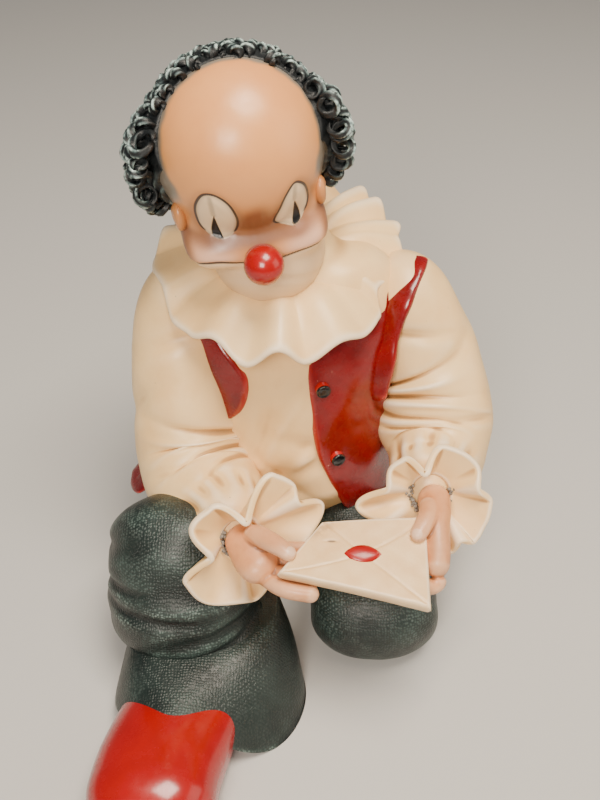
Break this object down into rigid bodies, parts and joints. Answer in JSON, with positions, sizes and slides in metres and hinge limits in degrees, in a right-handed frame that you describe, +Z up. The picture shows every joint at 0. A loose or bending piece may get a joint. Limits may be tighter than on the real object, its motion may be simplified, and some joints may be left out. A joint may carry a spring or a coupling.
{
  "type": "clown figurine",
  "caption": "Painted cast-resin figurine of a kneeling clown with a ruffled collar and waistcoat, who looks down at a sealed letter held in both hands.",
  "frame": {"origin": "on the ground, under the middle of the figurine's bounding box", "axes": "+Z up, -Y towards the front, where the figure faces and the front shoe points, +X towards the clown's left side"},
  "size_m": [0.1134, 0.1658, 0.1654],
  "materials": {
    "painted_figure": "cast resin, hand painted in cream, red, grey-green and skin colours, satin to gloss",
    "painted_hands": "cast resin, hand painted skin and cream, satin"
  },
  "bodies": {
    "root": {"clown_figure": "painted_figure", "hands_and_letter": "painted_hands"}
  },
  "joints": []
}
